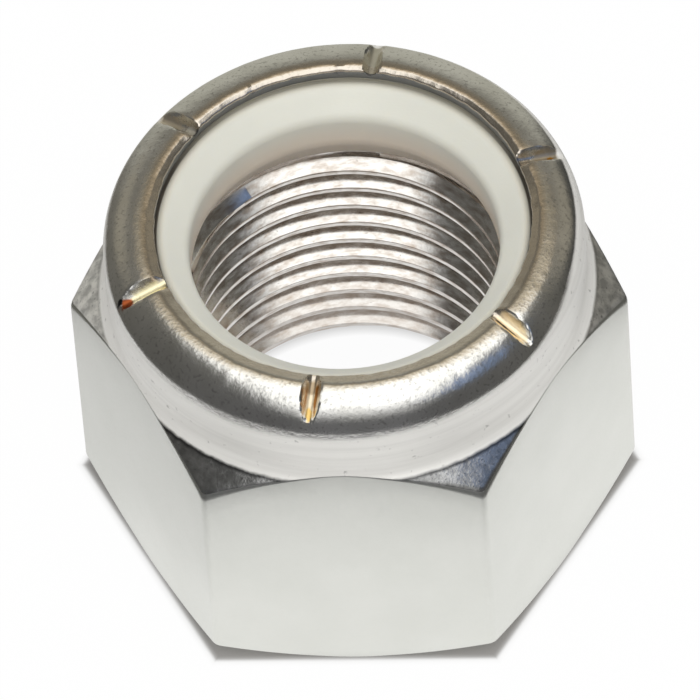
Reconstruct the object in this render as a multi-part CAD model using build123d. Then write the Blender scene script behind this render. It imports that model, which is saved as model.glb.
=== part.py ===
from build123d import *
from math import cos, radians, sin, tan
import os

# Nylon insert lock nut, modelled in millimetres.
# The origin is the centre of the bearing face. +Z is the thread axis and points to the collar.
# Two of the six flats face -Y and +Y, and two of the six corners lie on the X axis.
# The metal is one piece: hexagon, threaded bore, and a collar whose rim is rolled inwards and
# staked over the second piece, the nylon ring.

# Hexagon
across_flats = 27.0
corner_height = 15.35
corner_rounding = 0.5
bearing_setback = 0.1
bearing_chamfer_angle = 30.0
shoulder_angle = 40.0

# Thread, 3/4 inch with 16 turns to the inch, bored here to its minor diameter
thread_major_diameter = 19.05
thread_pitch = 1.5875
thread_engagement = 0.84
thread_length = 16.6
countersink_setback = 0.375
countersink_angle = 45.0

# Collar round the nylon ring
collar_setback = 0.15
collar_wall = 1.35
shoulder_fillet = 1.3
rim_height = 1.95
lip_overhang = 1.3
lip_thickness = 0.8
lip_bevel = 0.3
pocket_bevel = 0.5

# Nylon ring
ring_height = 5.4
ring_grip = 0.925
ring_top_land = 0.5
ring_top_rise = 0.9
ring_throat_length = 2.65
ring_mouth_inset = 0.075
ring_mouth_clearance = 0.15

# Stakes, V-shaped chisel marks across the rolled rim
stake_count = 6
stake_first_angle = 22.8
stake_tilt = 15.0
stake_angle = 70.0
stake_web = 0.25

# Depth of a full 60 degree thread of this pitch, of which the bore leaves the engaged share
full_thread_depth = 5 / 8 * thread_pitch * cos(radians(30))

# Radii and heights worked out from the sizes above
corner_radius = across_flats / 2 / cos(radians(30))
bearing_radius = across_flats / 2 - bearing_setback
major_radius = thread_major_diameter / 2
minor_radius = major_radius - thread_engagement * full_thread_depth
countersink_radius = major_radius + countersink_setback
collar_radius = across_flats / 2 - collar_setback
pocket_radius = collar_radius - collar_wall
lip_radius = pocket_radius - lip_overhang
throat_radius = major_radius - ring_grip
mouth_radius = major_radius - ring_mouth_inset
pocket_roof = thread_length + ring_height
overall_height = pocket_roof + lip_thickness
rim_foot = overall_height - rim_height


def pocket_outline():
    """Wall, bevel and roof of the ring's pocket, from its floor to the edge of the lip."""
    return Polyline(
        (pocket_radius, thread_length),
        (pocket_radius, pocket_roof - pocket_bevel),
        (pocket_radius - pocket_bevel, pocket_roof),
        (lip_radius, pocket_roof),
    )


def outside_outline():
    """Turned outside of the metal, from the bearing face over the rim to the pocket's roof.

    The rim is a quarter of an ellipse, upright where it leaves the collar and level at the top.
    Also returns the corner where shoulder and collar meet.
    """
    blank_radius = corner_radius + corner_rounding
    chamfer_height = (blank_radius - bearing_radius) * tan(radians(bearing_chamfer_angle))
    shoulder_slope = tan(radians(shoulder_angle))
    shoulder_foot = corner_height - (blank_radius - corner_radius) * shoulder_slope
    shoulder_top = corner_height + (corner_radius - collar_radius) * shoulder_slope
    sides = Polyline(
        (bearing_radius, 0),
        (blank_radius, chamfer_height),
        (blank_radius, shoulder_foot),
        (collar_radius, shoulder_top),
        (collar_radius, rim_foot),
    )
    rim_top = lip_radius + lip_bevel
    rim = EllipticalCenterArc((rim_top, rim_foot), collar_radius - rim_top, rim_height, arc_size=90)
    lip = Polyline(
        (rim_top, overall_height),
        (lip_radius, overall_height - lip_bevel),
        (lip_radius, pocket_roof),
    )
    return [sides, rim, lip], (collar_radius, shoulder_top)


def bore_outline():
    """Pocket floor and bore, from the foot of the pocket's wall to the bearing face."""
    depth_factor = tan(radians(countersink_angle))
    ring_side_radius = mouth_radius + ring_mouth_clearance
    return Polyline(
        (pocket_radius, thread_length),
        (ring_side_radius, thread_length),
        (minor_radius, thread_length - (ring_side_radius - minor_radius) * depth_factor),
        (minor_radius, (countersink_radius - minor_radius) * depth_factor),
        (countersink_radius, 0),
        (bearing_radius, 0),
    )


def turned(section):
    """Solid of revolution about +Z from a section drawn with x as radius and y as height."""
    return revolve(Plane.XZ * section, axis=Axis.Z)


def stake():
    """V-shaped groove along +X, deepest at the lip, that runs out on the bend of the rim."""
    direction = Vector(cos(radians(stake_tilt)), 0, -sin(radians(stake_tilt)))
    foot = Plane(
        origin=(lip_radius, 0, pocket_roof + stake_web),
        x_dir=(0, 1, 0),
        z_dir=direction,
    )
    height = 2 * lip_thickness
    half_width = height * tan(radians(stake_angle / 2))
    groove = make_face(Polyline((0, 0), (half_width, height), (-half_width, height), close=True))
    length = (collar_radius - lip_radius) / cos(radians(stake_tilt))
    return extrude(foot.offset(-lip_bevel) * groove, length + lip_bevel)


def nut_body():
    """Hexagon with its shoulder, threaded bore and rolled, staked collar."""
    outside, shoulder_corner = outside_outline()
    section = make_face([*outside, pocket_outline(), bore_outline()])
    corner = section.vertices().sort_by_distance((*shoulder_corner, 0))[0]
    section = fillet(corner, shoulder_fillet)
    hexagon = RegularPolygon(across_flats / 2, 6, major_radius=False)
    hexagon = fillet(hexagon.vertices(), corner_rounding)
    body = turned(section) & extrude(hexagon, overall_height)
    stakes = [
        Rot(Z=stake_first_angle + index * 360 / stake_count) * stake()
        for index in range(stake_count)
    ]
    return body - stakes


def nylon_insert():
    """Ring that fills the pocket, squeezed narrower at its top than at its mouth."""
    land_edge = lip_radius - ring_top_land
    throat_top = pocket_roof - ring_top_rise
    top = Line((lip_radius, pocket_roof), (land_edge, pocket_roof))
    rounding = EllipticalCenterArc(
        (land_edge, throat_top), land_edge - throat_radius, ring_top_rise, 90, arc_size=90
    )
    bore = Polyline(
        (throat_radius, throat_top),
        (throat_radius, throat_top - ring_throat_length),
        (mouth_radius, thread_length),
        (pocket_radius, thread_length),
    )
    return turned(make_face([pocket_outline(), top, rounding, bore]))


os.makedirs("parts", exist_ok=True)
export_step(nut_body(), "parts/nut_body.step")
export_step(nylon_insert(), "parts/nylon_insert.step")
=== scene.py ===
import bpy
import numpy as np
from mathutils import Matrix, Vector


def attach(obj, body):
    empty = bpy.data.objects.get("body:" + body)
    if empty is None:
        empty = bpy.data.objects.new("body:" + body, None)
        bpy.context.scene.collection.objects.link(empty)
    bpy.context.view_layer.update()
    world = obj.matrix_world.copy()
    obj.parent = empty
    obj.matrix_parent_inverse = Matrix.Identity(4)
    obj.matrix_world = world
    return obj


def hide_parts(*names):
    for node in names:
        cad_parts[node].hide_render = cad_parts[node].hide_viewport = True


# Nylon insert lock nut. Lengths are in millimetres and angles in degrees until a mesh is made.
# Both pieces are rings whose section changes with the angle round the axis, so each is built
# from rows of points that run round the axis.

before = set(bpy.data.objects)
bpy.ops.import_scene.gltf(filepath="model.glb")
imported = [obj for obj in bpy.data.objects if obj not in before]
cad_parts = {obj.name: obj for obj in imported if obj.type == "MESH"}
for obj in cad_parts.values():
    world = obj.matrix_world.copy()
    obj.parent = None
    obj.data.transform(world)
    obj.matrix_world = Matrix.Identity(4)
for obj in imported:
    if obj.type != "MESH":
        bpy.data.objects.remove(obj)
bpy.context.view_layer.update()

MILLIMETRE = 0.001
X_AXIS, Y_AXIS, Z_AXIS = (1, 0, 0), (0, 1, 0), (0, 0, 1)

# Sizes shared with the CAD model
ACROSS_FLATS = 27.0
CORNER_HEIGHT = 15.35
CORNER_ROUNDING = 0.5
BEARING_RADIUS = 13.4
BEARING_CHAMFER_ANGLE = 30.0
SHOULDER_ANGLE = 40.0
SHOULDER_FILLET = 1.3
MAJOR_RADIUS = 9.525
MINOR_RADIUS = 8.803
PITCH = 1.5875
THREAD_TOP = 16.6
COUNTERSINK_RADIUS = 9.9
THREAD_MOUTH_RADIUS = 9.6
COLLAR_RADIUS = 13.35
RIM_FOOT = 20.85
RIM_HEIGHT = 1.95
LIP_RADIUS = 10.7
POCKET_RADIUS = 12.0
POCKET_ROOF = 22.0
POCKET_BEVEL = 0.5
RING_THROAT_RADIUS = 8.6
RING_MOUTH_RADIUS = 9.45
THROAT_FOOT = 18.45
STAKE_COUNT = 6
STAKE_FIRST_ANGLE = 22.8
STAKE_TILT = 15.0
STAKE_WEB = 0.25

# Sizes of the visual model alone, measured in the photo: the rim's ridge and the lip's edge, which
# shift from the front to the back, the chisel marks, and the funnel and bulge of the nylon. The
# bulge is given as distances inwards from the lip's radius and below the pocket's roof.
RIDGE_RADIUS = 10.95
RIDGE_SHIFT = 0.27
LIP_EDGE_RADIUS = 10.45
LIP_EDGE_HEIGHT = 22.55
LIP_EDGE_SHIFT = 0.13
STAKE_HALF_WIDTH = 0.5
STAKE_RISE = 0.6
STAKE_ROUNDNESS = 2.5
STAKE_BLEND = 0.09
FUNNEL_FOOT = 20.64
FUNNEL_ROUNDING = 0.42
NYLON_BULGE = (
    (0.20, 0.30), (0.30, 0.22), (0.40, 0.155), (0.50, 0.115), (0.60, 0.10), (0.70, 0.12), (0.80, 0.17),
)

# Small gaps that keep surfaces apart: the lip's edge above the pocket's roof, the nylon inside its
# pocket, and the hexagon inside the CAD model's flats
LIP_FOOT_GAP = 0.04
NYLON_SLACK = 0.02
INSIDE_CAD = 0.0005

# How far the edges are cut back, and how much further at the worn corners of the shoulder
FACE_EDGE_CUT = 0.1
FOOT_EDGE_CUT = 0.12
HEAD_EDGE_CUT = 0.12
LIP_EDGE_CUT = 0.07
CORNER_WEAR = 0.5
WORN_DEGREES = 9

# Uneven lines of the ridge and the lip: seed, waves round the axis, size of each wave
RIDGE_WAVES = (8, (11, 23, 38, 61, 90), 0.012)
LIP_WAVES = (5, (9, 17, 31, 52, 77), 0.014)

CORNER_RADIUS = ACROSS_FLATS / 2 / np.cos(np.radians(30))
SHOULDER_SLOPE = np.tan(np.radians(SHOULDER_ANGLE))

# Points in a row. Near a corner or a stake they are closer together: how many times over, and
# within how many degrees. Their angles are read from a table of fine steps.
COLUMNS = 440
CORNER_CROWDING, CORNER_REACH = 5, 1.5
STAKE_CROWDING, STAKE_REACH = 6, 2.5
FINE_STEPS = 7200

# Edges that bend by more than this stay sharp in the shading
CREASE_ANGLE = 33
# Heights that differ by less than this are taken as the same
TINY = 1e-6

# Finishes of the metal piece, in the order of its material slots
FLATS, TURNED, POCKET, THREAD = range(4)


def from_nearest(angles, first, step):
    """Signed angle in degrees from the nearest of the evenly spaced directions."""
    return (angles - first + step / 2) % step - step / 2


def column_angles():
    """Angles of the points of a row, closer together at the corners and at the stakes."""
    fine = np.linspace(0, 360, FINE_STEPS + 1)
    corner = from_nearest(fine, 0, 60) / CORNER_REACH
    stake = from_nearest(fine, STAKE_FIRST_ANGLE, 360 / STAKE_COUNT) / STAKE_REACH
    density = 1 + CORNER_CROWDING * np.exp(-corner**2) + STAKE_CROWDING * np.exp(-stake**2)
    total = np.concatenate(([0], np.cumsum((density[1:] + density[:-1]) / 2)))
    return np.interp(np.arange(COLUMNS) * total[-1] / COLUMNS, total, fine)


ANGLES = column_angles()
FROM_CORNER = np.radians(from_nearest(ANGLES, 0, 60))


def hexagon_radius():
    """Distance of the rounded hexagon's wall from the axis, for every column.

    It is a hair less than in the CAD model.
    """
    flat = ACROSS_FLATS / 2 / np.cos(np.pi / 6 - np.abs(FROM_CORNER))
    centre = (ACROSS_FLATS / 2 - CORNER_ROUNDING) / np.cos(np.pi / 6)
    reach = centre + CORNER_ROUNDING * np.cos(np.pi / 6)
    limit = np.arctan2(CORNER_ROUNDING * np.sin(np.pi / 6), reach)
    inside = CORNER_ROUNDING**2 - (centre * np.sin(FROM_CORNER)) ** 2
    arc = centre * np.cos(FROM_CORNER) + np.sqrt(np.maximum(inside, 0))
    return np.where(np.abs(FROM_CORNER) < limit, arc, flat) - INSIDE_CAD


def everywhere(radius, height):
    """One row of points, as an array of (radius, height) for every column."""
    return np.stack([np.zeros(COLUMNS) + radius, np.zeros(COLUMNS) + height], -1)


def between(start, end, steps):
    """Rows spread along the straight line from start to end, without start, with end."""
    return [start + (end - start) * step / steps for step in range(1, steps + 1)]


def rounded(before, corner, after, cut, steps=4):
    """Rows that cut the corner between two straight lines with a smooth curve.

    The cut takes less than half of either line.
    """
    to_before, to_after = before - corner, after - corner
    long_before = np.linalg.norm(to_before, axis=-1, keepdims=True)
    long_after = np.linalg.norm(to_after, axis=-1, keepdims=True)
    cut = np.minimum(np.reshape(cut, (-1, 1)), 0.45 * np.minimum(long_before, long_after))
    first = corner + to_before / long_before * cut
    last = corner + to_after / long_after * cut
    shares = [step / steps for step in range(steps + 1)]
    return [(1 - t) ** 2 * first + 2 * t * (1 - t) * corner + t**2 * last for t in shares]


def shoulder_height(radius):
    """Height of the shoulder cone, which runs into the collar with a hollow fillet."""
    meeting = CORNER_HEIGHT + (CORNER_RADIUS - COLLAR_RADIUS) * SHOULDER_SLOPE
    tangent = SHOULDER_FILLET * np.tan(np.radians((90 - SHOULDER_ANGLE) / 2))
    cone = meeting - (radius - COLLAR_RADIUS) * SHOULDER_SLOPE
    off = COLLAR_RADIUS + SHOULDER_FILLET - radius
    hollow = meeting + tangent - np.sqrt(np.maximum(SHOULDER_FILLET**2 - off**2, 0))
    in_fillet = radius < COLLAR_RADIUS + tangent * np.cos(np.radians(SHOULDER_ANGLE))
    return np.where(in_fillet, hollow, cone)


def staked(row):
    """Lowers a row of the rim into the chisel marks.

    A mark is round at the bottom, and its edge blends softly into the rim.
    """
    off = np.radians(from_nearest(ANGLES, STAKE_FIRST_ANGLE, 360 / STAKE_COUNT))
    radius, height = row[:, 0], row[:, 1]
    along, across = radius * np.cos(off), radius * np.sin(off)
    rise = STAKE_RISE * np.abs(across / STAKE_HALF_WIDTH) ** STAKE_ROUNDNESS
    fall = (along - LIP_RADIUS) * np.tan(np.radians(STAKE_TILT))
    floor = POCKET_ROOF + STAKE_WEB - fall + rise
    lower = (height + floor - np.sqrt((height - floor) ** 2 + STAKE_BLEND**2)) / 2
    lower += STAKE_BLEND / 2 * (floor < height)
    return np.stack([radius, np.minimum(height, lower)], -1)


def waves(seed, counts, size):
    """A closed uneven line round the axis, as an offset for every column."""
    random = np.random.RandomState(seed)
    turns = np.outer(counts, np.radians(ANGLES)) + random.uniform(0, 2 * np.pi, (len(counts), 1))
    return size * np.sin(turns).sum(0)


def body_rows():
    """Rows of the metal from the countersink's edge, over the outside and rim, to the thread's top.

    Also gives the first row of each stretch that has its own finish.
    """
    wall = hexagon_radius()
    worn = np.exp(-((np.degrees(FROM_CORNER) / WORN_DEGREES) ** 2))
    starts = {}
    inner = everywhere(COUNTERSINK_RADIUS, 0)
    rim_of_face = everywhere(BEARING_RADIUS, 0)
    chamfer_slope = np.tan(np.radians(BEARING_CHAMFER_ANGLE))
    foot = everywhere(wall, (wall - BEARING_RADIUS) * chamfer_slope)
    head = everywhere(wall, shoulder_height(wall))
    collar_foot = everywhere(COLLAR_RADIUS, shoulder_height(np.array(COLLAR_RADIUS)))
    up_the_shoulder = COLLAR_RADIUS + 0.6 * (wall - COLLAR_RADIUS)
    beyond = everywhere(up_the_shoulder, shoulder_height(up_the_shoulder))

    face_edge = rounded(inner, rim_of_face, foot, FACE_EDGE_CUT, 3)
    foot_edge = rounded(rim_of_face, foot, head, FOOT_EDGE_CUT, 3)
    head_edge = rounded(foot, head, beyond, HEAD_EDGE_CUT + CORNER_WEAR * worn, 5)
    rows = [inner] + between(inner, face_edge[0], 4) + face_edge[1:]
    rows += between(face_edge[-1], foot_edge[0], 3) + foot_edge[1:]
    rows += between(foot_edge[-1], head_edge[0], 10) + head_edge[1:]
    # The shoulder's finish starts halfway over the worn edge
    starts["shoulder"] = len(rows) - 3
    # Rows up the shoulder, closer together towards the collar
    for share in (np.arange(11, -1, -1) / 12) ** 2:
        radius = COLLAR_RADIUS + share * (head_edge[-1][:, 0] - COLLAR_RADIUS)
        rows.append(everywhere(radius, shoulder_height(radius)))
    rows += between(collar_foot, everywhere(COLLAR_RADIUS, RIM_FOOT), 4)

    # The ridge of the rim lies further out in front than at the back, where the lip slopes less
    backward = np.sin(np.radians(ANGLES))
    ridge = RIDGE_RADIUS - RIDGE_SHIFT * backward + waves(*RIDGE_WAVES)
    rim = []
    for angle in np.radians(np.linspace(0, 90, 19)[1:]):
        radius = ridge + (COLLAR_RADIUS - ridge) * np.cos(angle)
        rim.append(everywhere(radius, RIM_FOOT + RIM_HEIGHT * np.sin(angle)))
    lip_edge = everywhere(
        LIP_EDGE_RADIUS + waves(*LIP_WAVES), LIP_EDGE_HEIGHT + LIP_EDGE_SHIFT * backward
    )
    lip_foot = everywhere(LIP_EDGE_RADIUS, POCKET_ROOF + LIP_FOOT_GAP)
    edge = rounded(rim[-1], lip_edge, lip_foot, LIP_EDGE_CUT, 4)
    rim += between(rim[-1], edge[0], 3) + edge[1:] + between(edge[-1], lip_foot, 3)
    rows += [staked(row) for row in rim]
    rows.append(everywhere(LIP_RADIUS, POCKET_ROOF))

    starts["pocket"] = len(rows)
    rows += between(rows[-1], everywhere(POCKET_RADIUS - POCKET_BEVEL, POCKET_ROOF), 2)
    rows += between(rows[-1], everywhere(POCKET_RADIUS, POCKET_ROOF - POCKET_BEVEL), 1)
    rows += between(rows[-1], everywhere(POCKET_RADIUS, THREAD_TOP), 2)
    rows += between(rows[-1], everywhere(THREAD_MOUTH_RADIUS, THREAD_TOP), 3)
    return rows, starts


# One turn of the 60 degree thread, from crest to crest, as shares of the pitch and radii
THREAD_SHARES = (0.0, 0.08, 0.11, 0.345, 0.655, 0.89, 0.92)
THREAD_DEPTHS = (0.0, 0.0, 0.03, 0.99, 0.99, 0.03, 0.0)


def thread_rows():
    """Helical rows of the right-hand thread, cut off at both ends by the countersinks.

    They start below the bearing face and end above the thread's top, to reach both all round.
    """
    below = 1.5
    turns = int(THREAD_TOP / PITCH) + 3
    shares = np.array([turn - below + share for turn in range(turns) for share in THREAD_SHARES])
    depths = np.tile(THREAD_DEPTHS, turns)
    height = PITCH * (shares[:, None] + ANGLES[None, :] / 360)
    radius = MINOR_RADIUS + (MAJOR_RADIUS - MINOR_RADIUS) * depths[:, None] + 0 * height
    height = np.clip(height, 0, THREAD_TOP)
    radius = np.maximum(radius, COUNTERSINK_RADIUS - height)
    return np.maximum(radius, THREAD_MOUTH_RADIUS - (THREAD_TOP - height)), height


def to_points(radius, height):
    """Points in metres of rows given as radius and height arrays of (rows, columns)."""
    angle = np.radians(ANGLES)[None, :] + 0 * radius
    points = np.stack([radius * np.cos(angle), radius * np.sin(angle), height], -1)
    return (points * MILLIMETRE).reshape(-1, 3)


def make_piece(name, points, faces, finishes, finish_of_face, node):
    """A smooth mesh piece on the root body that stands for a CAD node."""
    mesh = bpy.data.meshes.new(name)
    mesh.from_pydata(points.tolist(), [], faces)
    for material in finishes:
        mesh.materials.append(material)
    mesh.polygons.foreach_set("material_index", finish_of_face)
    mesh.polygons.foreach_set("use_smooth", [True] * len(mesh.polygons))
    mesh.update()
    mesh.set_sharp_from_angle(angle=np.radians(CREASE_ANGLE))
    piece = bpy.data.objects.new(name, mesh)
    bpy.context.collection.objects.link(piece)
    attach(piece, "root")
    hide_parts(node)
    return piece


def ring_faces(ids, shift=0):
    """Faces between neighbouring rows and columns of a grid of point numbers.

    Past the last column the grid goes on with its first one, shift rows higher.
    """
    faces, rows = [], []
    count = len(ids)
    for row in range(count - 1):
        for column in range(COLUMNS):
            after = (column + 1) % COLUMNS
            lift = shift if after == 0 else 0
            low, high = min(row + lift, count - 1), min(row + 1 + lift, count - 1)
            corners = (ids[row][column], ids[low][after], ids[high][after], ids[row + 1][column])
            face = list(dict.fromkeys(int(c) for c in corners))
            if len(face) > 2:
                faces.append(face)
                rows.append(row)
    return faces, rows


def nut_mesh():
    """Points, faces and each face's stretch of the whole metal piece."""
    rows, starts = body_rows()
    outside = np.array(rows)
    points = [to_points(outside[:, :, 0], outside[:, :, 1])]
    outside_ids = np.arange(len(rows) * COLUMNS).reshape(len(rows), COLUMNS)
    faces, row_of_face = ring_faces(outside_ids)
    finish = []
    for row in row_of_face:
        if row >= starts["pocket"]:
            finish.append(POCKET)
        elif row >= starts["shoulder"]:
            finish.append(TURNED)
        else:
            finish.append(FLATS)

    radius, height = thread_rows()
    ids = np.empty(height.shape, int)
    bottom, top = height <= TINY, height >= THREAD_TOP - TINY
    free = ~bottom & ~top
    ids[bottom] = np.broadcast_to(outside_ids[0], height.shape)[bottom]
    ids[top] = np.broadcast_to(outside_ids[-1], height.shape)[top]
    ids[free] = outside_ids.size + np.arange(free.sum())
    points.append(to_points(radius, height).reshape(*height.shape, 3)[free])
    thread_faces, _ = ring_faces(ids, shift=len(THREAD_SHARES))
    faces += [face[::-1] for face in thread_faces]
    finish += [THREAD] * len(thread_faces)
    return np.concatenate(points), faces, finish


def nylon_mesh():
    """Points and faces of the nylon ring, with a bulge and a funnel at the top of its bore."""
    outer, roof = POCKET_RADIUS - NYLON_SLACK, POCKET_ROOF - NYLON_SLACK
    beside_lip = 0.1
    bulge_foot = 0.35
    rows = [everywhere(outer, THREAD_TOP + NYLON_SLACK)]
    rows += between(rows[-1], everywhere(outer, POCKET_ROOF - POCKET_BEVEL), 2)
    rows += between(rows[-1], everywhere(outer - POCKET_BEVEL, roof), 1)
    rows += between(rows[-1], everywhere(LIP_RADIUS + beside_lip, roof), 2)
    rows += between(rows[-1], everywhere(LIP_RADIUS, POCKET_ROOF - bulge_foot), 1)
    for inward, drop in NYLON_BULGE:
        rows.append(everywhere(LIP_RADIUS - inward, POCKET_ROOF - drop))
    throat = everywhere(RING_THROAT_RADIUS, FUNNEL_FOOT)
    foot = everywhere(RING_THROAT_RADIUS, THROAT_FOOT)
    edge = rounded(rows[-1], throat, foot, FUNNEL_ROUNDING, 10)
    rows += between(rows[-1], edge[0], 6) + edge[1:] + between(edge[-1], foot, 4)
    rows += between(rows[-1], everywhere(RING_MOUTH_RADIUS, THREAD_TOP + NYLON_SLACK), 4)
    grid = np.array(rows + rows[:1])
    points = to_points(grid[:-1, :, 0], grid[:-1, :, 1])
    ids = np.arange((len(grid) - 1) * COLUMNS).reshape(-1, COLUMNS)
    faces, _ = ring_faces(np.concatenate([ids, ids[:1]]))
    return points, [face[::-1] for face in faces]


def link(tree, source, target):
    """Joins an output to an input."""
    tree.links.new(source, target)


def feed(tree, socket, value):
    """Sets an input to a number or a colour, or joins it to an output."""
    if isinstance(value, bpy.types.NodeSocket):
        link(tree, value, socket)
    elif isinstance(value, tuple):
        socket.default_value = (*value, 1)
    else:
        socket.default_value = value


def noise_node(tree, coordinates, scale, detail, stretch=(1, 1, 1), seed=0.0):
    """A noise texture measured per millimetre of the object."""
    mapping = tree.nodes.new("ShaderNodeMapping")
    per_metre = scale / MILLIMETRE
    mapping.inputs["Scale"].default_value = [per_metre * factor for factor in stretch]
    mapping.inputs["Location"].default_value = (seed, seed * 0.7, seed * 1.3)
    link(tree, coordinates, mapping.inputs["Vector"])
    node = tree.nodes.new("ShaderNodeTexNoise")
    node.inputs["Scale"].default_value = 1.0
    node.inputs["Detail"].default_value = detail
    link(tree, mapping.outputs["Vector"], node.inputs["Vector"])
    return node.outputs["Fac"]


def ramp_node(tree, value, stops):
    """A colour ramp with stops of (position, colour)."""
    node = tree.nodes.new("ShaderNodeValToRGB")
    while len(node.color_ramp.elements) < len(stops):
        node.color_ramp.elements.new(0.5)
    for element, (position, colour) in zip(node.color_ramp.elements, stops):
        element.position = position
        element.color = (*colour, 1)
    link(tree, value, node.inputs["Fac"])
    return node.outputs["Color"]


def range_node(tree, value, low, high, to_low, to_high, smooth=False):
    """A value remapped from one range to another and clamped."""
    node = tree.nodes.new("ShaderNodeMapRange")
    node.interpolation_type = "SMOOTHSTEP" if smooth else "LINEAR"
    for socket, number in zip(node.inputs[1:5], (low, high, to_low, to_high)):
        socket.default_value = number
    link(tree, value, node.inputs["Value"])
    return node.outputs["Result"]


def math_node(tree, operation, first, second=0.0):
    """A sum, product or other operation on numbers, each a socket or a plain number."""
    node = tree.nodes.new("ShaderNodeMath")
    node.operation = operation
    for socket, value in zip(node.inputs, (first, second)):
        feed(tree, socket, value)
    return node.outputs[0]


def in_millimetres(tree, value):
    """A length in metres as a number of millimetres."""
    return math_node(tree, "MULTIPLY", value, 1 / MILLIMETRE)


def dot_node(tree, coordinates, direction):
    """How far a point lies along a direction."""
    node = tree.nodes.new("ShaderNodeVectorMath")
    node.operation = "DOT_PRODUCT"
    link(tree, coordinates, node.inputs[0])
    node.inputs[1].default_value = direction
    return node.outputs["Value"]


def length_node(tree, vector, flatten=False):
    """Length of a vector, of its level part alone if flatten is set."""
    if flatten:
        level = tree.nodes.new("ShaderNodeVectorMath")
        level.operation = "MULTIPLY"
        link(tree, vector, level.inputs[0])
        level.inputs[1].default_value = (1, 1, 0)
        vector = level.outputs["Vector"]
    node = tree.nodes.new("ShaderNodeVectorMath")
    node.operation = "LENGTH"
    link(tree, vector, node.inputs[0])
    return node.outputs["Value"]


def spot_node(tree, coordinates, ragged, angle, radius, across, half_along, half_across):
    """1 inside an oval spot on the rim and 0 outside it.

    It lies at an angle and radius, across to the left of that radius, in millimetres.
    """
    turn = np.radians(angle)
    mapping = tree.nodes.new("ShaderNodeMapping")
    mapping.vector_type = "TEXTURE"
    mapping.inputs["Location"].default_value = (
        (radius * np.cos(turn) - across * np.sin(turn)) * MILLIMETRE,
        (radius * np.sin(turn) + across * np.cos(turn)) * MILLIMETRE,
        0,
    )
    mapping.inputs["Rotation"].default_value = (0, 0, turn)
    mapping.inputs["Scale"].default_value = (half_along * MILLIMETRE, half_across * MILLIMETRE, 1)
    link(tree, coordinates, mapping.inputs["Vector"])
    reach = length_node(tree, mapping.outputs["Vector"], flatten=True)
    reach = math_node(tree, "ADD", reach, ragged)
    return range_node(tree, reach, 0.7, 1.2, 1.0, 0.0, smooth=True)


def mixed(tree, data_type, values, blend="MIX"):
    """What a mix node makes of its factor and its two values."""
    node = tree.nodes.new("ShaderNodeMix")
    node.data_type = data_type
    node.blend_type = blend
    sockets = [socket for socket in node.inputs if socket.enabled]
    for socket, value in zip(sockets, values):
        feed(tree, socket, value)
    return next(socket for socket in node.outputs if socket.enabled)


def mix_node(tree, factor, first, second, blend="MIX"):
    """Two colours mixed, each a socket or a plain colour."""
    return mixed(tree, "RGBA", (factor, first, second), blend)


def mix_number(tree, factor, first, second):
    """Two numbers mixed, each a socket or a plain number."""
    return mixed(tree, "FLOAT", (factor, first, second))


def bump_node(tree, height, distance, under=None):
    """A bump with a distance in millimetres, on top of another bump if given."""
    node = tree.nodes.new("ShaderNodeBump")
    node.inputs["Distance"].default_value = distance * MILLIMETRE
    node.inputs["Strength"].default_value = 1.0
    link(tree, height, node.inputs["Height"])
    if under is not None:
        link(tree, under, node.inputs["Normal"])
    return node.outputs["Normal"]


def new_material(name):
    """A node material with its tree, main shader and object coordinates."""
    material = bpy.data.materials.new(name)
    material.use_nodes = True
    tree = material.node_tree
    shader = tree.nodes["Principled BSDF"]
    coordinates = tree.nodes.new("ShaderNodeTexCoord").outputs["Object"]
    return material, tree, shader, coordinates


def metal(name):
    """A metal material with its tree, main shader and object coordinates."""
    material, tree, shader, coordinates = new_material(name)
    shader.inputs["Metallic"].default_value = 1.0
    return material, tree, shader, coordinates


def flats_steel():
    """Satin hexagon: even tone, faint clouds and a very fine grain."""
    material, tree, shader, coordinates = metal("steel_flats")
    cloud = noise_node(tree, coordinates, 0.3, 3, seed=2.0)
    tone = ramp_node(tree, cloud, [(0.3, (0.755, 0.762, 0.715)), (0.7, (0.785, 0.79, 0.745))])
    link(tree, tone, shader.inputs["Base Color"])
    grain = noise_node(tree, coordinates, 7.0, 4, seed=1.3)
    link(tree, range_node(tree, grain, 0.3, 0.7, 0.30, 0.38), shader.inputs["Roughness"])
    link(tree, bump_node(tree, grain, 0.0015), shader.inputs["Normal"])
    return material


# Stains, rust, a scratch and dark spots in the chisel marks, and painted highlights where a mark's
# flank or end catches the lamp: angle, radius, across, half length, half width, colour
STAINS_AND_PAINTED_HIGHLIGHTS = (
    # Pale cream painted highlight on the front mark's flank
    (262.8, 12.0, 0.02, 1.1, 0.35, (0.86, 0.74, 0.55)),
    (262.8, 11.2, 0.0, 0.45, 0.45, (0.46, 0.36, 0.24)),
    (262.8, 11.9, 0.25, 1.0, 0.12, (0.36, 0.17, 0.05)),
    (262.8, 12.75, 0.0, 0.4, 0.2, (0.85, 0.58, 0.20)),
    # Pale gold painted highlight on the left mark's flank, which faces the lamp
    (202.8, 11.55, -0.05, 1.0, 0.36, (1.0, 0.92, 0.62)),
    (202.8, 12.85, -0.02, 0.38, 0.30, (0.36, 0.09, 0.03)),
    (202.8, 13.12, -0.32, 0.14, 0.16, (0.05, 0.05, 0.05)),
    # Pale gold painted highlight on the right mark's flank
    (322.8, 11.7, 0.1, 1.0, 0.40, (1.0, 0.85, 0.60)),
    (322.8, 11.5, -0.12, 0.75, 0.06, (0.06, 0.05, 0.05)),
    (22.8, 12.1, 0.0, 0.9, 0.5, (0.62, 0.54, 0.42)),
    (22.8, 12.3, -0.05, 0.22, 0.18, (0.62, 0.30, 0.06)),
    (82.8, 12.2, 0.0, 1.2, 0.45, (0.76, 0.73, 0.64)),
    (142.8, 12.2, 0.0, 1.0, 0.45, (0.80, 0.72, 0.60)),
    # White painted highlight at the inner end of the mark
    (142.8, 10.85, 0.0, 0.35, 0.3, (1.0, 0.97, 0.90)),
)
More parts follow.
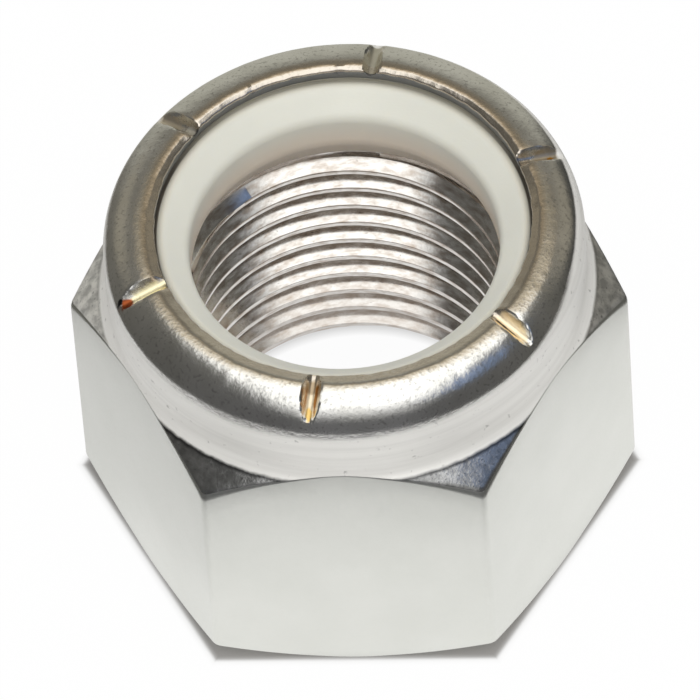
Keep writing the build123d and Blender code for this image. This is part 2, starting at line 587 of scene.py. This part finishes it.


# Borders between the finishes above the hexagon, in millimetres: the radii over which the
# shoulder's grain begins and the painted dark line of shade on it fades, and the heights at which
# the burnish begins in front and behind. Inside its radius the burnish reaches over the whole rim.
SHOULDER_FINISH = (13.72, 13.90)
SHOULDER_SHADE_LINE = (13.88, 14.03)
BURNISH_HEIGHTS = (20.38, 21.9)
BURNISH_RADIUS = 12.95


def turned_steel():
    """Steel above the hexagon: dull neck, burnished and stained rim with painted highlights and
    painted shade, grainy shoulder with painted shade.
    """
    material, tree, shader, coordinates = metal("steel_turned")
    cloud = noise_node(tree, coordinates, 0.4, 3, seed=3.1)
    coarse = noise_node(tree, coordinates, 1.7, 5, seed=1.9)
    grain = noise_node(tree, coordinates, 5.0, 4, seed=7.7)
    uneven = range_node(tree, coarse, 0.3, 0.7, -1.0, 1.0)
    radius = in_millimetres(tree, length_node(tree, coordinates, flatten=True))
    axes = (X_AXIS, Y_AXIS, Z_AXIS)
    x, y, z = (in_millimetres(tree, dot_node(tree, coordinates, axis)) for axis in axes)

    # Where the shoulder's finish starts, and where the rolling tool has burnished the rim, which
    # is from lower down in front and on the left
    reach = math_node(tree, "ADD", radius, math_node(tree, "MULTIPLY", uneven, 0.03))
    shoulder = range_node(tree, reach, *SHOULDER_FINISH, 0.0, 1.0, smooth=True)
    backward = math_node(tree, "DIVIDE", y, radius)
    rightward = math_node(tree, "MULTIPLY", math_node(tree, "DIVIDE", x, radius), 0.3)
    limit = range_node(tree, backward, -1.0, 0.05, *BURNISH_HEIGHTS, smooth=True)
    limit = math_node(tree, "ADD", limit, rightward)
    inward = math_node(tree, "SUBTRACT", BURNISH_RADIUS, radius)
    inward = math_node(tree, "MAXIMUM", inward, 0.0)
    level = math_node(tree, "ADD", z, math_node(tree, "MULTIPLY", inward, 2.0))
    above = math_node(tree, "SUBTRACT", level, limit)
    above = math_node(tree, "SUBTRACT", above, math_node(tree, "MULTIPLY", uneven, 0.03))
    burnished = range_node(tree, above, -0.22, 0.22, 0.0, 1.0, smooth=True)
    on_collar = range_node(tree, radius, COLLAR_RADIUS + 0.1, COLLAR_RADIUS + 0.15, 1.0, 0.0)
    burnished = math_node(tree, "MULTIPLY", burnished, on_collar)

    # Neck, with turning marks round the axis and small pits. The marks' coordinates are in
    # millimetres and radians already.
    around = tree.nodes.new("ShaderNodeCombineXYZ")
    for socket, value in zip(around.inputs, (radius, math_node(tree, "ARCTAN2", y, x), z)):
        link(tree, value, socket)
    along = (2.6, 1.1, 2.6)
    marks = noise_node(tree, around.outputs["Vector"], MILLIMETRE, 4, stretch=along, seed=3.7)
    pit = noise_node(tree, coordinates, 2.3, 4, seed=9.4)
    neck = ramp_node(tree, marks, [(0.35, (0.78, 0.77, 0.735)), (0.60, (0.84, 0.83, 0.795))])
    neck = mix_node(tree, range_node(tree, pit, 0.66, 0.73, 0.0, 0.6), neck, (0.36, 0.35, 0.33))

    # Shoulder, grainy and darker, with painted shade: darker in front than at the sides and the back,
    # and a dark line where the neck meets it
    speck = noise_node(tree, coordinates, 6.5, 3, seed=7.7)
    aside = range_node(tree, y, -9.0, -3.0, 0.0, 1.0, smooth=True)
    # Painted light and shade: the shoulder's colour is darker in front and lighter at the sides and
    # the back
    patch = mix_node(tree, aside, (0.58, 0.58, 0.57), (0.92, 0.91, 0.86))
    patch = mix_node(tree, range_node(tree, coarse, 0.36, 0.62, 0.55, 0.0), patch, (0.20, 0.20, 0.19))
    patch = mix_node(tree, range_node(tree, speck, 0.60, 0.72, 0.0, 0.6), patch, (0.12, 0.12, 0.12))
    # Painted shade: a dark line along the crease where the neck meets the shoulder, strongest in front
    painted_shade_line = range_node(tree, reach, *SHOULDER_SHADE_LINE, 0.85, 0.0, smooth=True)
    painted_shade_line = math_node(tree, "MULTIPLY", painted_shade_line, range_node(tree, aside, 0.0, 1.0, 1.0, 0.3))
    patch = mix_node(tree, painted_shade_line, patch, (0.07, 0.07, 0.07))

    # Rim, brownish towards the lip, with painted shade on the lip's inner wall, and stains and painted
    # highlights in its chisel marks
    rim = ramp_node(tree, cloud, [(0.35, (0.74, 0.73, 0.69)), (0.65, (0.86, 0.85, 0.82))])
    rim = mix_node(tree, range_node(tree, grain, 0.56, 0.70, 0.0, 0.55), rim, (0.34, 0.33, 0.31))
    brown = range_node(tree, radius, 11.0, 11.4, 0.65, 0.0, smooth=True)
    rim = mix_node(tree, brown, rim, (0.62, 0.53, 0.42))
    # Painted shade on the lip's inner wall: dark blue-grey below the lip's edge
    below = math_node(tree, "SUBTRACT", z, math_node(tree, "MULTIPLY", backward, LIP_EDGE_SHIFT))
    below = range_node(tree, below, LIP_EDGE_HEIGHT - 0.15, LIP_EDGE_HEIGHT - 0.08, 0.9, 0.0)
    inside = range_node(tree, radius, LIP_EDGE_RADIUS + 0.08, LIP_EDGE_RADIUS + 0.12, 1.0, 0.0)
    rim = mix_node(tree, math_node(tree, "MULTIPLY", below, inside), rim, (0.16, 0.175, 0.20))
    ragged = range_node(tree, coarse, 0.3, 0.7, -0.35, 0.35)
    marked = 0.0
    for angle, out, across, half_along, half_across, colour in STAINS_AND_PAINTED_HIGHLIGHTS:
        mask = spot_node(tree, coordinates, ragged, angle, out, across, half_along, half_across)
        rim = mix_node(tree, mask, rim, colour)
        marked = math_node(tree, "MAXIMUM", marked, mask)

    # The shoulder is duller at the sides and the back, on the left above all
    tone = mix_node(tree, burnished, mix_node(tree, shoulder, neck, patch), rim)
    link(tree, tone, shader.inputs["Base Color"])
    dull = math_node(tree, "MULTIPLY", aside, range_node(tree, x, -9.0, 0.0, 0.55, 0.10))
    bare = math_node(tree, "MULTIPLY", shoulder, math_node(tree, "SUBTRACT", 1.0, dull))
    shiny = math_node(tree, "MAXIMUM", bare, burnished)
    link(tree, range_node(tree, shiny, 0.0, 1.0, 0.3, 1.0), shader.inputs["Metallic"])
    rim_rough = mix_number(tree, marked, range_node(tree, grain, 0.3, 0.7, 0.18, 0.27), 0.36)
    patch_rough = range_node(tree, aside, 0.0, 1.0, 0.24, 0.42)
    rough = mix_number(tree, burnished, patch_rough, rim_rough)
    link(tree, mix_number(tree, shiny, 0.5, rough), shader.inputs["Roughness"])
    detail = mix_number(tree, shoulder, mix_number(tree, burnished, marks, grain), speck)
    normal = bump_node(tree, detail, 0.010)
    uneven_part = math_node(tree, "MULTIPLY", coarse, range_node(tree, shiny, 0.0, 1.0, 0.2, 1.0))
    link(tree, bump_node(tree, uneven_part, 0.017, under=normal), shader.inputs["Normal"])
    return material


def pocket_steel():
    """Steel inside the ring's pocket and under the lip, dull and grey."""
    material, tree, shader, coordinates = metal("steel_pocket")
    mottle = noise_node(tree, coordinates, 1.2, 4, seed=5.5)
    tone = ramp_node(tree, mottle, [(0.3, (0.30, 0.28, 0.26)), (0.7, (0.46, 0.44, 0.41))])
    link(tree, tone, shader.inputs["Base Color"])
    link(tree, range_node(tree, mottle, 0.3, 0.7, 0.35, 0.5), shader.inputs["Roughness"])
    link(tree, bump_node(tree, mottle, 0.01), shader.inputs["Normal"])
    return material


def thread_steel():
    """Cut thread, brownish steel with fine marks along the turns, darker towards its foot."""
    material, tree, shader, coordinates = metal("steel_thread")
    along = noise_node(tree, coordinates, 1.3, 4, stretch=(1, 1, 5), seed=8.2)
    fine = noise_node(tree, coordinates, 5.5, 3, seed=0.6)
    tone = ramp_node(tree, along, [(0.28, (0.50, 0.43, 0.37)), (0.60, (0.82, 0.80, 0.77))])
    tone = mix_node(tree, range_node(tree, fine, 0.66, 0.74, 0.0, 0.35), tone, (0.25, 0.2, 0.16))
    height = in_millimetres(tree, dot_node(tree, coordinates, Z_AXIS))
    deep = range_node(tree, height, 1.0, 8.0, 0.45, 0.0, smooth=True)
    tone = mix_node(tree, deep, tone, (0.40, 0.36, 0.33))
    link(tree, tone, shader.inputs["Base Color"])
    link(tree, range_node(tree, along, 0.3, 0.7, 0.11, 0.17), shader.inputs["Roughness"])
    link(tree, bump_node(tree, fine, 0.002), shader.inputs["Normal"])
    return material


def nylon():
    """Creamy white, slightly translucent nylon.

    It has painted shade beside the lip and a painted shadow, nearly black, in the gap under the lip
    save at the back, and it is warmer in its throat.
    """
    material, tree, shader, coordinates = new_material("nylon_cream")
    cloud = noise_node(tree, coordinates, 0.25, 4, seed=2.2)
    tone = ramp_node(tree, cloud, [(0.3, (0.72, 0.72, 0.65)), (0.7, (0.755, 0.755, 0.68))])
    radius = in_millimetres(tree, length_node(tree, coordinates, flatten=True))
    # Painted shade on the nylon beside the lip
    beside_lip = range_node(tree, radius, 9.75, 10.2, 0.0, 0.45, smooth=True)
    tone = mix_node(tree, beside_lip, tone, (0.50, 0.45, 0.34))
    # Painted shadow, nearly black, in the gap under the lip, fainter at the back
    painted_gap_shadow = range_node(tree, radius, 10.28, 10.38, 0.0, 1.0, smooth=True)
    backward = in_millimetres(tree, dot_node(tree, coordinates, Y_AXIS))
    painted_gap_shadow = math_node(tree, "MULTIPLY", painted_gap_shadow, range_node(tree, backward, 4.0, 8.5, 0.9, 0.15))
    tone = mix_node(tree, painted_gap_shadow, tone, (0.07, 0.055, 0.04))
    height = in_millimetres(tree, dot_node(tree, coordinates, Z_AXIS))
    deep = range_node(tree, height, 18.3, 20.9, 1.0, 0.0, smooth=True)
    link(tree, mix_node(tree, deep, tone, (0.80, 0.71, 0.60)), shader.inputs["Base Color"])
    fine = noise_node(tree, coordinates, 5.0, 4, stretch=(1, 1, 3), seed=4.4)
    link(tree, range_node(tree, fine, 0.3, 0.7, 0.42, 0.6), shader.inputs["Roughness"])
    link(tree, bump_node(tree, fine, 0.006), shader.inputs["Normal"])
    shader.inputs["Subsurface Weight"].default_value = 0.35
    shader.inputs["Subsurface Radius"].default_value = (0.0022, 0.0020, 0.0016)
    return material


def area_light(name, place, towards, size, power, colour):
    """A rectangular soft light of a size in metres."""
    data = bpy.data.lights.new(name, "AREA")
    data.shape = "RECTANGLE"
    data.size, data.size_y = size
    data.energy = power
    data.color = colour
    lamp = bpy.data.objects.new(name, data)
    lamp.location = place
    lamp.rotation_euler = (Vector(towards) - Vector(place)).to_track_quat("-Z", "Y").to_euler()
    bpy.context.collection.objects.link(lamp)
    return lamp


def glossy_only(thing):
    """Leaves a card to be seen in reflections alone."""
    thing.visible_camera = False
    thing.visible_diffuse = False
    thing.visible_shadow = False
    thing.visible_transmission = False
    thing.visible_volume_scatter = False


def card(name, points, faces, material):
    """A flat or domed piece of the stage."""
    mesh = bpy.data.meshes.new(name)
    mesh.from_pydata(points, [], faces)
    mesh.materials.append(material)
    thing = bpy.data.objects.new(name, mesh)
    bpy.context.collection.objects.link(thing)
    return thing


# Floor, in metres: width of the painted contact shadow, a dark line along the nut's edge, where its
# own white starts inside the nut's outline and is full outside it, and where reflections of its far
# left grow dimmer, a painted shade
PAINTED_SHADOW_WIDTH = 0.0003
OWN_WHITE_FROM, OWN_WHITE_TO = -0.0002, 0.0006
DIM_LEFT_FROM, DIM_LEFT_TO = -0.018, -0.011
# Share of its own white under the nut, around it, inside the bore and in reflections, and how
# bright the painted shade on the far left is there
WHITE_UNDER, WHITE_AROUND, WHITE_IN_BORE, WHITE_REFLECTED = 0.04, 0.98, 0.97, 0.85
DIM_LEFT_LEVEL = 0.80


def floor_material():
    """White floor that is lit, and partly white of its own for the camera and for reflections.

    Its own white starts at the nut's edge and is nearly full just outside it, so that the nut keeps
    a narrow contact shadow, which a painted dark line along the nut's edge deepens. It is nearly
    full inside the bore too, where the nut keeps the light out, and dimmer to the far left in
    reflections, a painted shade.
    """
    material, tree, shader, coordinates = new_material("floor")
    shader.inputs["Roughness"].default_value = 0.9
    shader.inputs["Specular IOR Level"].default_value = 0.0
    reach = None
    for angle in np.radians((30, 90, 150)):
        side = dot_node(tree, coordinates, (np.cos(angle), np.sin(angle), 0))
        side = math_node(tree, "ABSOLUTE", side)
        reach = side if reach is None else math_node(tree, "MAXIMUM", reach, side)
    flat = ACROSS_FLATS / 2 * MILLIMETRE
    # Painted contact shadow: the floor's colour darkens along the nut's edge
    painted_contact_shadow = range_node(tree, reach, flat, flat + PAINTED_SHADOW_WIDTH, 1.0, 0.0, smooth=True)
    tone = mix_node(tree, painted_contact_shadow, (0.9, 0.9, 0.9), (0.30, 0.29, 0.28))
    link(tree, tone, shader.inputs["Base Color"])
    white_from, white_to = flat + OWN_WHITE_FROM, flat + OWN_WHITE_TO
    shares = (WHITE_UNDER, WHITE_AROUND)
    for_camera = range_node(tree, reach, white_from, white_to, *shares, smooth=True)
    distance = length_node(tree, coordinates)
    bore = COUNTERSINK_RADIUS * MILLIMETRE
    in_bore = range_node(tree, distance, 0.9 * bore, 1.1 * bore, 1.0, 0.0)
    in_bore = math_node(tree, "MULTIPLY", in_bore, WHITE_IN_BORE)
    for_camera = math_node(tree, "MAXIMUM", for_camera, in_bore)
    # Painted shade: reflections of the floor's far left are dimmer
    left = dot_node(tree, coordinates, X_AXIS)
    left = range_node(tree, left, DIM_LEFT_FROM, DIM_LEFT_TO, DIM_LEFT_LEVEL, 1.0, smooth=True)
    path = tree.nodes.new("ShaderNodeLightPath")
    camera_ray, glossy_ray, through_ray = (
        path.outputs[f"Is {kind} Ray"] for kind in ("Camera", "Glossy", "Transmission")
    )
    for_camera = math_node(tree, "MULTIPLY", camera_ray, for_camera)
    for_gloss = math_node(tree, "MAXIMUM", glossy_ray, through_ray)
    reflected = math_node(tree, "MULTIPLY", for_gloss, WHITE_REFLECTED)
    own = math_node(tree, "ADD", for_camera, reflected)
    white = tree.nodes.new("ShaderNodeEmission")
    link(tree, mix_number(tree, for_gloss, 1.0, left), white.inputs["Strength"])
    mix = tree.nodes.new("ShaderNodeMixShader")
    link(tree, own, mix.inputs[0])
    link(tree, shader.outputs[0], mix.inputs[1])
    link(tree, white.outputs[0], mix.inputs[2])
    link(tree, mix.outputs[0], tree.nodes["Material Output"].inputs["Surface"])
    return material


# Brightest part of the room, of which the colours of its other parts are shares
LAMP_BOX_LEVEL = 1.5
# How far the lamp box leans to the right, and how wide it is: where it starts and ends to fade
LAMP_BOX_SHIFT = 0.05
LAMP_BOX_WIDTH = (0.34, 0.56)
# Soft patches in the room: azimuth, elevation, outer and inner angle, colour
ROOM_PATCHES = (
    (90, -3, 46, 18, (0.31, 0.305, 0.265)),
    (-38, 46, 26, 8, (0.12, 0.17, 0.28)),
    (38, 0, 32, 12, (0.042, 0.042, 0.04)),
    (42, 27, 20, 6, (0.20, 0.185, 0.15)),
    (140, 21, 20, 6, (0.20, 0.185, 0.15)),
)
# Lamp box from the front horizon over the zenith to the back: angle from the zenith, colour
LAMP_BOX = (
    (-90, (0.09, 0.09, 0.093)),
    (-80, (0.13, 0.13, 0.13)),
    (-70, (0.26, 0.26, 0.26)),
    (-58, (0.50, 0.50, 0.50)),
    (-48, (0.72, 0.72, 0.72)),
    (-42, (0.85, 0.85, 0.85)),
    (-36, (1.0, 1.0, 0.99)),
    (14, (1.0, 1.0, 0.98)),
    (22, (0.60, 0.51, 0.38)),
    (31, (0.24, 0.205, 0.145)),
    (42, (0.15, 0.135, 0.105)),
    (58, (0.0, 0.0, 0.0)),
)


def room_material():
    """What is reflected above the floor: a dim room, lighter at the back, with a lamp box."""
    material, tree, shader, coordinates = new_material("room")
    tree.nodes.remove(shader)
    node = tree.nodes.new("ShaderNodeVectorMath")
    node.operation = "NORMALIZE"
    link(tree, coordinates, node.inputs[0])
    direction = node.outputs["Vector"]
    x, y, z = (dot_node(tree, direction, axis) for axis in (X_AXIS, Y_AXIS, Z_AXIS))
    colour = ramp_node(tree, range_node(tree, y, -1, 1, 0, 1), [
        (0.0, (0.068, 0.068, 0.070)),
        (0.5, (0.076, 0.074, 0.068)),
        (0.8, (0.110, 0.105, 0.092)),
    ])
    for azimuth, elevation, outer, inner, tint in ROOM_PATCHES:
        turn, rise = np.radians((azimuth, elevation))
        axis = (np.cos(turn) * np.cos(rise), np.sin(turn) * np.cos(rise), np.sin(rise))
        low, high = np.cos(np.radians((outer, inner)))
        mask = range_node(tree, dot_node(tree, direction, axis), low, high, 0.0, 1.0, smooth=True)
        colour = mix_node(tree, mask, colour, tint)
    lean = range_node(tree, math_node(tree, "ARCTAN2", y, z), -np.pi / 2, np.pi / 2, 0.0, 1.0)
    box = ramp_node(tree, lean, [((angle + 90) / 180, tint) for angle, tint in LAMP_BOX])
    sideways = math_node(tree, "ABSOLUTE", math_node(tree, "SUBTRACT", x, LAMP_BOX_SHIFT))
    inside = range_node(tree, sideways, *LAMP_BOX_WIDTH, 1.0, 0.0, smooth=True)
    box = mix_node(tree, inside, (0.0, 0.0, 0.0), box)
    colour = mix_node(tree, 1.0, colour, box, "LIGHTEN")
    glow = tree.nodes.new("ShaderNodeEmission")
    glow.inputs["Strength"].default_value = LAMP_BOX_LEVEL
    link(tree, colour, glow.inputs["Color"])
    link(tree, glow.outputs[0], tree.nodes["Material Output"].inputs["Surface"])
    return material


def ring_points(inner, outer, height, count):
    """Points and faces of a flat ring."""
    points, faces = [], []
    for step in range(count):
        turn = 2 * np.pi * step / count
        for radius in (inner, outer):
            points.append((radius * np.cos(turn), radius * np.sin(turn), height))
        after = (step + 1) % count
        faces.append((2 * step, 2 * step + 1, 2 * after + 1, 2 * after))
    return points, faces


def dome_points(radius, rings, count):
    """Points and faces of a half sphere."""
    points, faces = [(0, 0, radius)], []
    for ring in range(1, rings + 1):
        polar = np.pi / 2 * ring / rings
        for step in range(count):
            azimuth = 2 * np.pi * step / count
            flat = radius * np.sin(polar)
            points.append((flat * np.cos(azimuth), flat * np.sin(azimuth), radius * np.cos(polar)))
    for step in range(count):
        after = (step + 1) % count
        faces.append((0, 1 + step, 1 + after))
        for ring in range(rings - 1):
            low, high = 1 + ring * count, 1 + (ring + 1) * count
            faces.append((low + step, high + step, high + after, low + after))
    return points, faces


# Stage, in metres: half of the floor's side, radius of the room, and the ring of the room's own
# floor, which leaves the white floor to be reflected near the nut
FLOOR_HALF = 1.5
ROOM_RADIUS = 1.4
ROOM_FLOOR_HOLE = 0.0284
ROOM_FLOOR_HEIGHT = 0.0003
# Lamp, in metres and watts, and strength of the even surrounding
LAMP_PLACE = (0.07, -0.30, 0.58)
LAMP_TARGET = (0, 0, 0.01)
LAMP_SIZE = (0.6, 0.5)
LAMP_POWER = 2.0
LAMP_COLOUR = (1.0, 0.99, 0.97)
SURROUNDING_STRENGTH = 0.70


def studio():
    """White floor, a soft lamp above, an even surrounding, and a room seen in reflections alone."""
    low, high = -FLOOR_HALF, FLOOR_HALF
    corners = [(low, low, 0), (high, low, 0), (high, high, 0), (low, high, 0)]
    card("floor", corners, [(0, 1, 2, 3)], floor_material())
    room = room_material()
    ring = ring_points(ROOM_FLOOR_HOLE, ROOM_RADIUS, ROOM_FLOOR_HEIGHT, count=96)
    glossy_only(card("room_floor", *ring, room))
    glossy_only(card("room_dome", *dome_points(ROOM_RADIUS, rings=24, count=64), room))
    lamp = area_light("lamp_above", LAMP_PLACE, LAMP_TARGET, LAMP_SIZE, LAMP_POWER, LAMP_COLOUR)
    lamp.visible_glossy = False
    world = bpy.data.worlds.new("surrounding")
    world.use_nodes = True
    background = world.node_tree.nodes["Background"]
    background.inputs["Color"].default_value = (1.0, 1.0, 1.0, 1)
    background.inputs["Strength"].default_value = SURROUNDING_STRENGTH
    bpy.context.scene.world = world
    world.cycles_visibility.glossy = False


def camera():
    """Camera at the photo's viewing angle, worked out from the nut's edges in the photo."""
    turn, elevation, roll = np.radians((-4.8058, 53.3697, -4.4078))
    position = np.array((37.031, -442.15, 607.461))
    focal_pixels, picture_pixels, sensor = 13303.7, 700, 36
    about_axis = np.array(Matrix.Rotation(turn, 3, "Z"))
    forward = np.array((0, np.cos(elevation), -np.sin(elevation)))
    right = np.array((1, 0, 0))
    axes = np.array([right, np.cross(forward, right), forward])
    rolled = np.array(Matrix.Rotation(roll, 3, "Z")) @ axes @ about_axis
    data = bpy.data.cameras.new("camera")
    data.sensor_width = sensor
    data.lens = focal_pixels * sensor / picture_pixels
    data.clip_start, data.clip_end = 0.01, 10
    thing = bpy.data.objects.new("camera", data)
    placed = Matrix(np.array([rolled[0], -rolled[1], -rolled[2]]).T.tolist()).to_4x4()
    placed.translation = Vector((position * MILLIMETRE).tolist())
    thing.matrix_world = placed
    bpy.context.collection.objects.link(thing)
    bpy.context.scene.camera = thing


finishes = [flats_steel(), turned_steel(), pocket_steel(), thread_steel()]
body_points, body_faces, body_finish = nut_mesh()
make_piece("nut_body_steel", body_points, body_faces, finishes, body_finish, "nut_body")
nylon_points, nylon_faces = nylon_mesh()
make_piece("nylon_insert_ring", nylon_points, nylon_faces, [nylon()], [0] * len(nylon_faces),
           "nylon_insert")

studio()
camera()
bpy.context.scene.view_settings.view_transform = "Standard"
